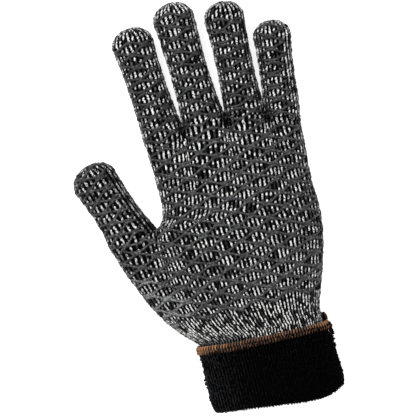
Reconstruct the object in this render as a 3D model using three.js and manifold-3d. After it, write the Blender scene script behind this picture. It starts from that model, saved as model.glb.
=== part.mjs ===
// A knitted work glove for the left hand, lying on its back with the palm up and its terry cuff turned back.
// Millimetres. X runs from the thumb to the little finger, Y from the cuff to the fingertips,
// Z up out of the palm.
import * as THREE from "three";
import { mergeVertices } from "three/addons/utils/BufferGeometryUtils.js";
import Module from "manifold-3d";

// Driving sizes of the knitted shell
const palmBreadth = 95; // across the knuckles, without the thumb
const palmDepth = 38; // back to palm at the ball of the thumb
const heelLength = 75; // hem to the root of the thumb
const knuckleLength = 52; // root of the thumb to the roots of the fingers
const fingerLength = 77; // middle finger, root to tip
const fingerDepth = 21;
const wristWidth = 77;
const wristDepth = 32;
const wristLength = 38; // stretch of the shell that stands inside the turned cuff
const knitWall = 2.4;
const tipRound = 0.46; // length of a fingertip's rounded end, as a share of the finger's width

// Driving sizes of the terry cuff, its hem and the grip net
const cuffHeight = 45; // fold to the top of the hem
const terryWall = 3;
const turnLength = 30; // terry that runs up inside the mouth from the fold
const layerGap = 0.4; // clearance between two layers, and of the palm from each finger stall
const foldBulge = 0.8; // how far the turned fold stands proud of the cuff
const hemHeight = 6;
const hemDepth = 3.4;
const netHeight = 0.9;
const strandWidth = 2.6;
const cellLength = 28; // one wave of the net, from side to side
const cellPitch = 20; // one wave of the net to the next, along the hand
const netStart = 18; // bare knit between the hem and the net

// Facets
const thumbColumns = 4;
const fingerColumns = 4;

// Fingers: length is a share of fingerLength, width of palmBreadth and the others of fingerDepth.
// Lean is in degrees from Y.
const fingers = [
  { name: "thumb", length: 0.7, width: 0.296, depth: 1.16, lean: -18.5, lift: 0.15, tipLift: 0.11 },
  { name: "index", length: 0.945, width: 0.262, depth: 1, lean: -3.6, lift: -0.02, tipLift: 0.08 },
  { name: "middle", length: 1.015, width: 0.26, depth: 1.02, lean: -1.5, lift: -0.02, tipLift: 0.09 },
  { name: "ring", length: 0.95, width: 0.25, depth: 0.98, lean: 2.6, lift: -0.02, tipLift: 0.08 },
  { name: "little", length: 0.8, width: 0.236, depth: 0.91, lean: 7.3, lift: -0.02, tipLift: 0.07 },
];

// Shape of one finger from root to rounded end: shares of its length, width and depth
const fingerShape = [
  { along: 0, width: 1.06, depth: 1.06 },
  { along: 0.2, width: 1.0, depth: 1.0 },
  { along: 0.45, width: 0.965, depth: 0.96 },
  { along: 0.7, width: 0.995, depth: 0.93 },
  { along: 0.86, width: 1.06, depth: 0.92 },
  { along: 1, width: 1.06, depth: 0.9 },
];

// Heel of the hand, hem to thumb root: shares of heelLength, palmBreadth and palmDepth
const heelShape = [
  { along: 0.1, left: -0.462, right: 0.409, top: 0.935, bottom: 0.065 },
  { along: 0.2, left: -0.54, right: 0.44, top: 0.955, bottom: 0.035 },
  { along: 0.35, left: -0.63, right: 0.495, top: 0.99, bottom: 0.005 },
  { along: 0.55, left: -0.706, right: 0.562, top: 1.0, bottom: -0.012 },
  { along: 0.78, left: -0.772, right: 0.588, top: 0.96, bottom: -0.012 },
  { along: 1, left: -0.826, right: 0.58, top: 0.89, bottom: -0.012 },
];

// Knuckles, thumb root to finger roots: shares of knuckleLength, palmBreadth and palmDepth
const knuckleShape = [
  { along: 0, left: -0.49, right: 0.58, top: 0.88, bottom: -0.012 },
  { along: 0.08, left: -0.44, right: 0.578, top: 0.865, bottom: -0.012 },
  { along: 0.2, left: -0.417, right: 0.576, top: 0.83, bottom: -0.012 },
  { along: 0.4, left: -0.413, right: 0.584, top: 0.77, bottom: -0.012 },
  { along: 0.7, left: -0.414, right: 0.594, top: 0.68, bottom: -0.012 },
  { along: 1, left: -0.426, right: 0.61, top: 0.6, bottom: -0.012 },
];

// Where the fingers part: shares of palmBreadth across, and of knuckleLength from the thumb's root
const partings = [
  { across: -0.153, along: 1.17 },
  { across: 0.137, along: 1.18 },
  { across: 0.4, along: 1.09 },
];
const thumbParting = { across: -0.49, beyond: 0.06 }; // beyond is a share of heelLength past its outer root
const indexRoot = 1.06; // outer root of the index finger, as a share of knuckleLength
const littleRoot = 0.9; // outer root of the little finger, as a share of knuckleLength

// Slopes of the turned cuff across its width: shares of the wrist's half width, then lengths
const foldLine = [
  { across: -1.15, drop: 3.4 },
  { across: -0.6, drop: 1.8 },
  { across: 0, drop: -1.4 },
  { across: 0.55, drop: -3.9 },
  { across: 0.85, drop: -2.8 },
  { across: 1.15, drop: 2.4 },
];
const hemSlope = -0.047;

const wristMiddle = layerGap + terryWall + wristDepth / 2;

const clamp01 = (t) => Math.min(1, Math.max(0, t));
const smooth = (t) => clamp01(t) ** 2 * (3 - 2 * clamp01(t));
const mix = (a, b, t) => a + (b - a) * t;

// Reads a column of a table at a place between its rows, on a smooth curve through them.
function at(rows, key, place, column) {
  let i = 0;
  while (i < rows.length - 2 && place > rows[i + 1][key]) i += 1;
  const slope = (j) => {
    const a = rows[Math.max(0, j - 1)];
    const b = rows[Math.min(rows.length - 1, j + 1)];
    return (b[column] - a[column]) / (b[key] - a[key]);
  };
  const span = rows[i + 1][key] - rows[i][key];
  const t = clamp01((place - rows[i][key]) / span);
  const low = rows[i][column];
  const high = rows[i + 1][column];
  const ease = t * t * (3 - 2 * t);
  return mix(low, high, ease) + span * (slope(i) * t * (1 - t) ** 2 - slope(i + 1) * t * t * (1 - t));
}

// Half of a rounded section from left to right, in even steps along its arc.
// Across and up are shares of the half width and of the rise.
function arch(columns, halfWidth, rise, power) {
  const fine = 240;
  const outline = [];
  for (let i = 0; i <= fine; i += 1) {
    const angle = (Math.PI * i) / fine;
    const c = Math.cos(angle);
    outline.push({
      across: -Math.sign(c) * Math.abs(c) ** (2 / power),
      up: Math.max(0, Math.sin(angle)) ** (2 / power),
    });
  }
  const reach = [0];
  for (let i = 1; i <= fine; i += 1) {
    const across = (outline[i].across - outline[i - 1].across) * halfWidth;
    const up = (outline[i].up - outline[i - 1].up) * rise;
    reach.push(reach[i - 1] + Math.hypot(across, up));
  }
  const points = [];
  let i = 1;
  for (let column = 0; column <= columns; column += 1) {
    const wanted = (reach[fine] * column) / columns;
    while (i < fine && reach[i] < wanted) i += 1;
    const t = clamp01((wanted - reach[i - 1]) / Math.max(1e-9, reach[i] - reach[i - 1]));
    points.push({
      across: mix(outline[i - 1].across, outline[i].across, t),
      up: column === 0 || column === columns ? 0 : mix(outline[i - 1].up, outline[i].up, t),
    });
  }
  return points;
}

// A section of the hand between two edge points: a domed palm side and a flatter back.
// The back is pressed flat at zero, where the glove rests.
const palmPower = 2.25;
const backPower = 3;
function section(left, right, bottom, top, columns) {
  const middle = mix(bottom, top, 0.48);
  const centre = left.clone().add(right).multiplyScalar(0.5);
  const half = right.clone().sub(left).multiplyScalar(0.5);
  const place = (rise, power) =>
    arch(columns, half.length(), Math.abs(rise), power).map((p) => {
      const x = centre.x + half.x * p.across;
      const y = centre.y + half.y * p.across;
      return new THREE.Vector3(x, y, Math.max(0, middle + rise * p.up));
    });
  const crown = arch(columns, half.length(), top - middle, palmPower).map((p) => p.up);
  return { front: place(top - middle, palmPower), back: place(bottom - middle, backPower), crown };
}

// Sections side by side that share their meeting points. Crown falls to 0 at a meeting point only.
function joined(parts) {
  const last = parts.length - 1;
  const crownOf = (p, i) =>
    p.crown.map((c, j) => {
      const right = j > (p.crown.length - 1) / 2;
      return (i === 0 && !right) || (i === last && right) ? 1 : c;
    });
  return {
    front: parts.flatMap((p, i) => (i ? p.front.slice(1) : p.front)),
    back: parts.flatMap((p, i) => (i ? p.back.slice(1) : p.back)),
    crown: parts.flatMap((p, i) => crownOf(p, i).slice(i ? 1 : 0)),
  };
}

// A section on its way to another one: in plan, at the crowns of the fingers and at the webs between them
function between(a, b, planShare, crownShare, webShare) {
  const blend = (from, to) =>
    from.map((p, i) => {
      const share = mix(webShare, crownShare, b.crown[i]);
      const x = mix(p.x, to[i].x, planShare);
      return new THREE.Vector3(x, mix(p.y, to[i].y, planShare), mix(p.z, to[i].z, share));
    });
  const crown = a.crown.map((c, i) => mix(c, b.crown[i], planShare));
  return { front: blend(a.front, b.front), back: blend(a.back, b.back), crown };
}
// The web where two fingers part is round, so the height closes like a quarter circle.
const webAt = (share, start) => {
  const t = clamp01((share - start) / (1 - start));
  return 1 - Math.sqrt(1 - t * t);
};

// Edge points of the roots
const thumbRootY = cuffHeight + heelLength;
const partingPoint = (p) => new THREE.Vector2(p.across * palmBreadth, thumbRootY + p.along * knuckleLength);
const lastHeel = heelShape[heelShape.length - 1];
const lastKnuckle = knuckleShape[knuckleShape.length - 1];
const thumbOuter = new THREE.Vector2(lastHeel.left * palmBreadth, thumbRootY);
const thumbInner = new THREE.Vector2(
  thumbParting.across * palmBreadth,
  thumbRootY + thumbParting.beyond * heelLength,
);
const heelRight = new THREE.Vector2(lastHeel.right * palmBreadth, thumbRootY);
const indexOuter = new THREE.Vector2(lastKnuckle.left * palmBreadth, thumbRootY + indexRoot * knuckleLength);
const littleOuter = new THREE.Vector2(
  lastKnuckle.right * palmBreadth,
  thumbRootY + littleRoot * knuckleLength,
);
const webs = partings.map(partingPoint);
const roots = {
  thumb: [thumbOuter, thumbInner],
  index: [indexOuter, webs[0]],
  middle: [webs[0], webs[1]],
  ring: [webs[1], webs[2]],
  little: [webs[2], littleOuter],
};

// One row of a finger: place 0 is its root and 1 its tip.
const capOf = (finger) => (tipRound * finger.width * palmBreadth) / (finger.length * fingerLength);
function fingerRow(finger, place, columns) {
  const [rootLeft, rootRight] = roots[finger.name];
  const lean = THREE.MathUtils.degToRad(finger.lean);
  const forward = new THREE.Vector2(Math.sin(lean), Math.cos(lean));
  const sideways = new THREE.Vector2(forward.y, -forward.x);
  const middle = rootLeft.clone().add(rootRight).multiplyScalar(0.5);
  const centre = middle.addScaledVector(forward, place * finger.length * fingerLength);
  const cap = clamp01((place - 1 + capOf(finger)) / capOf(finger));
  const round = (1 - cap ** 2.3) ** (1 / 2.1);
  const width = finger.width * palmBreadth * at(fingerShape, "along", place, "width") * round;
  const depth = finger.depth * fingerDepth * at(fingerShape, "along", place, "depth") * round;
  const half = sideways.multiplyScalar(width / 2);
  const rootHalf = rootRight.clone().sub(rootLeft).multiplyScalar(0.5);
  half.lerp(rootHalf, 1 - smooth(place / 0.22));
  const axis = fingerDepth * (finger.lift + finger.tipLift * place ** 2 + finger.depth / 2);
  const [left, right] = [centre.clone().sub(half), centre.clone().add(half)];
  return section(left, right, axis - depth / 2, axis + depth / 2, columns);
}

// Places of the rows along a finger: even on the shaft, closer on the rounded end
const fingerPlaces = (finger) => {
  const shaft = [0, 0.13, 0.52, 1].map((s) => s * (1 - capOf(finger)));
  const cap = [0.52, 0.86, 1].map((s) => 1 - capOf(finger) * (1 - s));
  return [...shaft, ...cap];
};

const [thumb, ...palmFingers] = fingers;
const palmColumns = fingerColumns * palmFingers.length;
const fingerRoots = joined(palmFingers.map((f) => fingerRow(f, 0, fingerColumns)));

// The palm between the thumb's root and the fingers
const littleReach = littleOuter.y - heelRight.y;
const indexReach = indexOuter.y - thumbInner.y;
function knuckleRow(share) {
  const read = (column) => at(knuckleShape, "along", share, column);
  const left = new THREE.Vector2(read("left") * palmBreadth, thumbInner.y + share * indexReach);
  const right = new THREE.Vector2(read("right") * palmBreadth, heelRight.y + share * littleReach);
  const plain = section(left, right, read("bottom") * palmDepth, read("top") * palmDepth, palmColumns);
  return between(plain, fingerRoots, smooth(share), smooth((share - 0.4) / 0.6), webAt(share, 0.72));
}
const knuckleShares = [0, 0.24, 0.5, 0.74, 0.91, 1];
const thumbAndPalm = joined([fingerRow(thumb, 0, thumbColumns), knuckleRow(0)]);

// The heel of the hand between the hem and the thumb's root
function heelRow(share) {
  const read = (column) => at(heelShape, "along", share, column);
  const y = cuffHeight + share * heelLength;
  const left = new THREE.Vector2(read("left") * palmBreadth, y);
  const right = new THREE.Vector2(read("right") * palmBreadth, y);
  const columns = thumbColumns + palmColumns;
  const plain = section(left, right, read("bottom") * palmDepth, read("top") * palmDepth, columns);
  const planShare = smooth((share - 0.15) / 0.85);
  return between(plain, thumbAndPalm, planShare, smooth((share - 0.5) / 0.5), webAt(share, 0.8));
}
const heelShares = [0.1, 0.3, 0.52, 0.74, 0.9, 1];

// The wrist stands straight inside the cuff.
function wristRow(y) {
  const half = wristWidth / 2;
  const bottom = wristMiddle - wristDepth / 2;
  const columns = thumbColumns + palmColumns;
  const [left, right] = [new THREE.Vector2(-half, y), new THREE.Vector2(half, y)];
  return section(left, right, bottom, bottom + wristDepth, columns);
}
const hemTilt = Math.abs(hemSlope) * (wristWidth / 2 + hemDepth);
const wristRows = [cuffHeight - wristLength, cuffHeight + hemTilt + layerGap].map(wristRow);

// Collects rows of sections into one surface, welded where the rows share points.
function surfaceOf(strips) {
  const corners = [];
  const addSide = (rows, outwards) => {
    for (let i = 0; i + 1 < rows.length; i += 1)
      for (let j = 0; j + 1 < rows[i].length; j += 1) {
        const [a, b, c, d] = [rows[i][j], rows[i][j + 1], rows[i + 1][j + 1], rows[i + 1][j]];
        corners.push(...(outwards ? [a, b, c, a, c, d] : [a, c, b, a, d, c]));
      }
  };
  for (const rows of strips) {
    addSide(rows.map((r) => r.front), true);
    addSide(rows.map((r) => r.back), false);
  }
  const loose = new THREE.BufferGeometry().setFromPoints(corners);
  const welded = mergeVertices(loose, 1e-3);
  const index = [];
  for (let i = 0; i < welded.index.count; i += 3) {
    const [a, b, c] = [0, 1, 2].map((k) => welded.index.getX(i + k));
    if (a !== b && b !== c && c !== a) index.push(a, b, c);
  }
  welded.setIndex(index);
  welded.computeVertexNormals();
  return welded;
}

// A closed wall between two offsets of an open surface, along its normals
function wallOf(surface, outside, inside) {
  const place = surface.attributes.position;
  const normal = surface.attributes.normal;
  const count = place.count;
  const vertices = new Float32Array(count * 6);
  [outside, inside].forEach((offset, layer) => {
    for (let i = 0; i < count; i += 1) {
      const p = new THREE.Vector3().fromBufferAttribute(place, i);
      const n = new THREE.Vector3().fromBufferAttribute(normal, i);
      p.addScaledVector(n, offset).toArray(vertices, 3 * (i + layer * count));
    }
  });
  const triangles = [];
  const open = new Map();
  const faces = surface.index.array;
  for (let i = 0; i < faces.length; i += 3) {
    const face = [faces[i], faces[i + 1], faces[i + 2]];
    triangles.push(...face, face[2] + count, face[1] + count, face[0] + count);
    face.forEach((a, k) => {
      const b = face[(k + 1) % 3];
      if (open.has(`${b} ${a}`)) open.delete(`${b} ${a}`);
      else open.set(`${a} ${b}`, [a, b]);
    });
  }
  for (const [a, b] of open.values()) triangles.push(b, a, a + count, b, a + count, b + count);
  return new THREE.BufferGeometry()
    .setAttribute("position", new THREE.BufferAttribute(vertices, 3))
    .setIndex(triangles);
}

const strips = [
  [...wristRows, ...heelShares.map(heelRow)],
  knuckleShares.map(knuckleRow),
  ...fingers.map((f) => {
    const columns = f === thumb ? thumbColumns : fingerColumns;
    return fingerPlaces(f).map((place) => fingerRow(f, place, columns));
  }),
];
const handSurface = surfaceOf(strips);

// The wrist's section as a closed ring of corners, each with the way its offset runs
function wristRing() {
  const row = wristRow(0);
  const ring = [...row.front, ...row.back.slice(1, -1).reverse()];
  const outOf = (i) => {
    const [a, b] = [ring[(i + ring.length) % ring.length], ring[(i + 1) % ring.length]];
    return new THREE.Vector3(a.z - b.z, 0, b.x - a.x).normalize();
  };
  return ring.map((point, i) => {
    const [before, after] = [outOf(i - 1), outOf(i)];
    const out = before.clone().add(after).normalize();
    return { point, out: out.divideScalar(out.dot(after)) };
  });
}

// A closed band round the wrist, swept from an outline of points: how far each stands out, and where along Y
function bandOf(outline) {
  const stations = wristRing();
  const count = outline.length;
  const vertices = [];
  const triangles = [];
  stations.forEach(({ point, out }, i) => {
    const across = point.x / (wristWidth / 2);
    outline.forEach(({ proud, y, hem, fold }, j) => {
      const slope = hem * hemSlope * point.x + fold * at(foldLine, "across", across, "drop");
      const p = point.clone().addScaledVector(out, proud);
      vertices.push(p.x, y + slope, Math.max(0, p.z));
      const [a, b] = [i * count + j, i * count + ((j + 1) % count)];
      const next = ((i + 1) % stations.length) * count;
      const [c, d] = [next + ((j + 1) % count), next + j];
      triangles.push(a, b, c, a, c, d);
    });
  });
  return new THREE.BufferGeometry()
    .setAttribute("position", new THREE.BufferAttribute(new Float32Array(vertices), 3))
    .setIndex(triangles);
}

// Terry: up inside the wrist, round the fold and back up outside it.
// Hem and fold are the shares by which a point follows the slope of the hem and of the fold.
const innerFace = -knitWall - layerGap;
const terryTop = cuffHeight - hemHeight - layerGap;
const shellEnd = cuffHeight - wristLength;
const cuffOutline = [
  { proud: layerGap + terryWall, y: terryTop, hem: 1, fold: 0 },
  { proud: layerGap + terryWall, y: cuffHeight / 2, hem: 0.5, fold: 0.4 },
  { proud: layerGap + terryWall + foldBulge, y: 7, hem: 0, fold: 1 },
  { proud: layerGap + 0.85 * terryWall, y: 1.4, hem: 0, fold: 1 },
  { proud: -knitWall / 2, y: 0, hem: 0, fold: 1 },
  { proud: innerFace - 0.75 * terryWall, y: 2, hem: 0, fold: 1 },
  { proud: innerFace - terryWall, y: 8, hem: 0, fold: 1 },
  { proud: innerFace - terryWall, y: turnLength - terryWall, hem: 0, fold: 0 },
  { proud: innerFace - 0.3 * terryWall, y: turnLength, hem: 0, fold: 0 },
  { proud: innerFace, y: turnLength, hem: 0, fold: 0 },
  { proud: innerFace, y: shellEnd - layerGap, hem: 0, fold: 0 },
  { proud: layerGap, y: shellEnd - layerGap, hem: 0, fold: 0 },
  { proud: layerGap, y: terryTop, hem: 1, fold: 0 },
];
const hemOutline = [
  { proud: layerGap, y: cuffHeight - hemHeight, hem: 1, fold: 0 },
  { proud: layerGap, y: cuffHeight - 0.3 * hemHeight, hem: 1, fold: 0 },
  { proud: layerGap + 0.4 * hemDepth, y: cuffHeight, hem: 1, fold: 0 },
  { proud: layerGap + 0.85 * hemDepth, y: cuffHeight - 0.16 * hemHeight, hem: 1, fold: 0 },
  { proud: layerGap + hemDepth, y: cuffHeight - 0.5 * hemHeight, hem: 1, fold: 0 },
  { proud: layerGap + 0.9 * hemDepth, y: cuffHeight - hemHeight, hem: 1, fold: 0 },
];

// Joins and cuts
const wasm = await Module();
wasm.setup();
function solidOf(geometry) {
  const bare = geometry.index ? geometry.toNonIndexed() : geometry.clone();
  bare.deleteAttribute("normal");
  bare.deleteAttribute("uv");
  const merged = mergeVertices(bare, 1e-4);
  return new wasm.Manifold(
    new wasm.Mesh({
      numProp: 3,
      vertProperties: merged.attributes.position.array,
      triVerts: new Uint32Array(merged.index.array),
    }),
  );
}
function geometryOf(solid) {
  const mesh = solid.getMesh();
  return new THREE.BufferGeometry()
    .setAttribute("position", new THREE.BufferAttribute(mesh.vertProperties, 3))
    .setIndex(new THREE.BufferAttribute(mesh.triVerts, 1));
}
function upright(points, low, high) {
  const shape = new THREE.Shape(points);
  return new THREE.ExtrudeGeometry(shape, { depth: high - low, bevelEnabled: false }).translate(0, 0, low);
}

// Plan of the gripped side: outlines of the palm and of each finger, drawn in from their edges by a length
const netInset = { thumbSide: 1.6, otherSide: 3, palm: 5 };
function planOf(fronts, leftInset, rightInset) {
  const sides = { left: [], right: [] };
  for (const front of fronts) {
    const [a, b] = [front[0], front[front.length - 1]];
    const width = Math.hypot(b.x - a.x, b.y - a.y);
    const [low, high] = [leftInset / width, 1 - rightInset / width];
    sides.left.push(new THREE.Vector2(mix(a.x, b.x, low), mix(a.y, b.y, low)));
    sides.right.push(new THREE.Vector2(mix(a.x, b.x, high), mix(a.y, b.y, high)));
  }
  return [...sides.left, ...sides.right.reverse()];
}
const palmPlan = (extra) => {
  const rows = [...[0.15, 0.3, 0.5, 0.7, 0.85].map(heelRow), ...[0.1, 0.3, 0.6, 0.9].map(knuckleRow)];
  return planOf(rows.map((row) => row.front), netInset.palm + extra, netInset.palm + extra);
};
const fingerPlan = (finger, i, extra) => {
  const start = finger === thumb ? 0 : (i - 1) * fingerColumns;
  const below = finger === thumb ? [0.74, 0.86].map(heelRow) : [0.6, 0.78].map(knuckleRow);
  const fronts = below.map((row) => row.front.slice(start, start + fingerColumns + 1));
  const top = 1 - 0.7 * capOf(finger) - extra / (finger.length * fingerLength);
  const places = [0.12, 0.3, 0.6 * top, 0.92 * top, top];
  const above = places.map((place) => fingerRow(finger, place, fingerColumns).front);
  return planOf([...fronts, ...above], netInset.thumbSide + extra, netInset.otherSide + extra);
};
const gripPlans = (extra) => [palmPlan(extra), ...fingers.map((finger, i) => fingerPlan(finger, i, extra))];

// Lower border of the net: a wave along the bottoms of its first row of gaps
const netLow = cuffHeight + netStart;
const netHigh = thumbRootY + 2 * knuckleLength + fingerLength;
const waveAt = (x) => (cellPitch / 4) * (1 + Math.cos((2 * Math.PI * x) / cellLength));
function borderPlan() {
  const points = [];
  const reach = Math.ceil((2 * palmBreadth) / cellLength) * cellLength;
  for (let x = -reach; x <= reach; x += cellLength / 6)
    points.push(new THREE.Vector2(x, netLow + cellPitch / 2 - waveAt(x) - strandWidth / 2));
  return [...points, new THREE.Vector2(reach, netHigh), new THREE.Vector2(-reach, netHigh)];
}

// Sideways drift of the net on a leaning finger, with one of its joints kept on the finger's middle
function swayAt(x, y) {
  const middleOf = ({ name }) => roots[name][0].clone().add(roots[name][1]).multiplyScalar(0.5);
  const onThumb = x < thumbInner.x && y > thumbRootY - 0.2 * heelLength;
  const distance = (finger) => Math.abs(middleOf(finger).x - x);
  const nearest = palmFingers.reduce((a, b) => (distance(b) < distance(a) ? b : a));
  const finger = onThumb ? thumb : nearest;
  const root = middleOf(finger);
  const joint = (Math.round(root.x / (cellLength / 2)) * cellLength) / 2;
  const beyond = y - root.y;
  const leanShift = Math.tan(THREE.MathUtils.degToRad(finger.lean)) * Math.max(0, beyond);
  return (root.x - joint) * clamp01(1 + beyond / cellPitch) + leanShift;
}

// Gaps of the net: lenses between two waves that run together half way between them
function netGaps() {
  const gaps = [];
  const columns = Math.ceil((2 * palmBreadth) / cellLength);
  const rows = Math.ceil((netHigh - netLow) / cellPitch);
  const reach = (Math.acos((2 * strandWidth) / cellPitch - 1) / Math.PI) * (cellLength / 2);
  const steps = [-1, -0.35, 0.35, 1];
  for (let i = -2 * columns; i <= 2 * columns; i += 1)
    for (let j = 0; j < rows; j += 1) {
      const x = (i * cellLength) / 2;
      const y = netLow + (i % 2 ? j : j + 0.5) * cellPitch;
      const sway = swayAt(x, y);
      const edge = (side) =>
        steps.map((s) => {
          const height = Math.max(0, waveAt(s * reach) - strandWidth / 2);
          return new THREE.Vector2(x + sway + s * reach, y + side * height);
        });
      const [lower, upper] = [edge(-1), edge(1)];
      gaps.push(solidOf(upright([...lower, ...upper.slice(1, -1).reverse()], -1, roof)));
    }
  return gaps.reduce((sum, gap) => sum.add(gap));
}

const shellSolid = solidOf(wallOf(handSurface, 0, -knitWall));

// Thin upright cuts part the shell into the palm and five stalls: one along each root, and one that runs up
// from each parting between two stalls.
const roof = 2 * palmDepth;
const cutRun = 0.2 * fingerLength;
function uprightCut(from, to, before, after) {
  const along = to.clone().sub(from).normalize();
  const side = new THREE.Vector2(-along.y, along.x).multiplyScalar(layerGap / 2);
  const [start, end] = [from.clone().addScaledVector(along, -before), to.clone().addScaledVector(along, after)];
  const corners = [start.clone().sub(side), end.clone().sub(side), end.add(side), start.add(side)];
  return solidOf(upright(corners, -1, roof));
}
const headingOf = ({ lean }) => {
  const angle = THREE.MathUtils.degToRad(lean);
  return new THREE.Vector2(Math.sin(angle), Math.cos(angle));
};
const palmHeading = indexOuter.clone().sub(thumbInner).normalize();
const partingCut = (point, one, other) => {
  const ahead = one.clone().add(other).normalize();
  return uprightCut(point, point.clone().addScaledVector(ahead, cutRun), layerGap / 2, 0);
};
const stallCuts = [
  ...fingers.map((finger) => {
    const [left, right] = roots[finger.name];
    const before = finger === thumb || finger.name === "index" ? knitWall : layerGap;
    return uprightCut(left, right, before, finger.name === "little" ? knitWall : layerGap);
  }),
  partingCut(thumbInner, headingOf(thumb), palmHeading),
  ...webs.map((web, i) => partingCut(web, headingOf(palmFingers[i]), headingOf(palmFingers[i + 1]))),
];
const parted = shellSolid.subtract(stallCuts.reduce((sum, cut) => sum.add(cut))).decompose();
const middleAlong = (solid, axis) => {
  const box = solid.boundingBox();
  return (box.min[axis] + box.max[axis]) / 2;
};
const palmSolid = parted.reduce((a, b) => (b.volume() > a.volume() ? b : a));
// The thumb's stall comes first, as it is the one furthest from the little finger.
const stallSolids = parted
  .filter((solid) => solid !== palmSolid && solid.volume() > knitWall ** 3)
  .sort((a, b) => middleAlong(a, 0) - middleAlong(b, 0));
// Prisms over the gripped side, from low down in the shell to above it
const gripPrism = (extra) =>
  gripPlans(extra)
    .map((plan) => solidOf(upright(plan, palmDepth / 4, roof)))
    .reduce((sum, plan) => sum.add(plan));
const netBlanket = () => {
  const region = gripPrism(0).intersect(solidOf(upright(borderPlan(), palmDepth / 4, roof)));
  return solidOf(wallOf(handSurface, layerGap + netHeight, layerGap)).intersect(region);
};
const larger = (a, b) => (b.volume() > a.volume() ? b : a);
const largest = (solid) => solid.decompose().reduce(larger);
const underNet = solidOf(wallOf(handSurface, 0.8 * layerGap, -knitWall));
const netGapsInside = netGaps().intersect(gripPrism(0.6 * strandWidth));
const netSolid = largest(netBlanket().subtract(netGapsInside).subtract(underNet));

// The whole glove
const cloth = { color: 0x8b8b8b, roughness: 0.9, metalness: 0 };
const rubber = { color: 0x474747, roughness: 0.6, metalness: 0 };
const terry = { color: 0x141416, roughness: 1, metalness: 0 };
const thread = { color: 0x74482c, roughness: 0.8, metalness: 0 };
const glove = new THREE.Group();
glove.name = "terry_cloth_glove";
const pieces = [
  { name: "knit_palm", geometry: geometryOf(palmSolid), look: cloth },
  ...fingers.map(({ name }, i) => ({ name: `knit_${name}`, geometry: geometryOf(stallSolids[i]), look: cloth })),
  { name: "grip_net", geometry: geometryOf(netSolid), look: rubber },
  { name: "terry_cuff", geometry: bandOf(cuffOutline), look: terry },
  { name: "hem_binding", geometry: bandOf(hemOutline), look: thread },
];
const extent = new THREE.Box3();
for (const { geometry } of pieces) {
  geometry.computeBoundingBox();
  extent.union(geometry.boundingBox);
}
const middle = extent.getCenter(new THREE.Vector3());
for (const { name, geometry, look } of pieces) {
  geometry.translate(-middle.x, -middle.y, -extent.min.z);
  geometry.computeVertexNormals();
  const mesh = new THREE.Mesh(geometry, new THREE.MeshStandardMaterial(look));
  mesh.name = name;
  glove.add(mesh);
}
export default glove;
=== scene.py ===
import math
import bmesh
import bpy
import numpy as np
from mathutils import Matrix, Vector
from mathutils.bvhtree import BVHTree
from mathutils.kdtree import KDTree


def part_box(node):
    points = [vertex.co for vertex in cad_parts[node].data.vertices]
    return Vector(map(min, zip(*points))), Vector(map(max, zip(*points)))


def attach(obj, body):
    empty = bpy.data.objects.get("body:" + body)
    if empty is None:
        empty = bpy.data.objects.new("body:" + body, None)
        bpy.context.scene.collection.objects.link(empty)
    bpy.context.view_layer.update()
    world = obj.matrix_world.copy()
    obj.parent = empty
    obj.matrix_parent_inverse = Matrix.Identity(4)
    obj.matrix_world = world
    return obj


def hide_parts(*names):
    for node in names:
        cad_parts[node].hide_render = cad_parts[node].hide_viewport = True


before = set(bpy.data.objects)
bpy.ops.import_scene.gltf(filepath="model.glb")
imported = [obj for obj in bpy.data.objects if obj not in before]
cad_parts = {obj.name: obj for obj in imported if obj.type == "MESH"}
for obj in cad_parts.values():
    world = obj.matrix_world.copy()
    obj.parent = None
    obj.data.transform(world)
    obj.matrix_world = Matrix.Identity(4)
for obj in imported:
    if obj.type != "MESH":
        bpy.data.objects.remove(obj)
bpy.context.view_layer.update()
print("stage: frame loaded")

# Drawing frame: millimetres, x = 0 in the cuff's middle and y = 0 at the photo's lower cuff edge
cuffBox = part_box("terry_cuff")
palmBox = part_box("knit_palm")
shift = np.array([
    500 * (cuffBox[0][0] + cuffBox[1][0]),
    1000 * palmBox[0][1] - 7,
    0.0,
])
rng = np.random.default_rng(1689)
# Lowest that a small shape may reach above the floor, mm
floorGap = 0.02


def toScene(points):
    return (np.asarray(points, dtype=float) + shift) / 1000


def clamp01(t):
    return min(1.0, max(0.0, t))


def smooth(t):
    t = clamp01(t)
    return t * t * (3 - 2 * t)


# 0 up to the start of a range, 1 from its end on
def fade(value, start, end):
    return smooth((value - start) / (end - start))


def readRows(rows, place, column):
    i = 0
    while i < len(rows) - 2 and place > rows[i + 1][0]:
        i += 1

    def slope(j):
        a, b = rows[max(0, j - 1)], rows[min(len(rows) - 1, j + 1)]
        return (b[column] - a[column]) / (b[0] - a[0])

    span = rows[i + 1][0] - rows[i][0]
    t = clamp01((place - rows[i][0]) / span)
    low, high = rows[i][column], rows[i + 1][column]
    bend = slope(i) * t * (1 - t) ** 2 - slope(i + 1) * t * t * (1 - t)
    return low + (high - low) * smooth(t) + span * bend


# Hand form: the same sizes as the solid shell, in millimetres or in shares of them
hand = dict(
    breadth=95, depth=38, heel=75, knuckle=52, fingerLength=77, fingerDepth=21,
    wristWidth=77, wristDepth=32, wristBottom=3.4, cuff=45, tipRound=0.46,
    palmPower=2.25, backPower=3.0, midHeight=0.48, rootBlend=0.22,
)
# name: length, width, depth, lean, lift, tipLift
fingers = {
    "thumb": (0.70, 0.296, 1.16, -18.5, 0.15, 0.11),
    "index": (0.945, 0.262, 1.0, -3.6, -0.02, 0.08),
    "middle": (1.015, 0.26, 1.02, -1.5, -0.02, 0.09),
    "ring": (0.95, 0.25, 0.98, 2.6, -0.02, 0.08),
    "little": (0.80, 0.236, 0.91, 7.3, -0.02, 0.07),
}
# along, width, depth
fingerShape = [
    (0, 1.06, 1.06), (0.2, 1.0, 1.0), (0.45, 0.965, 0.96),
    (0.7, 0.995, 0.93), (0.86, 1.06, 0.92), (1, 1.06, 0.9),
]
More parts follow.
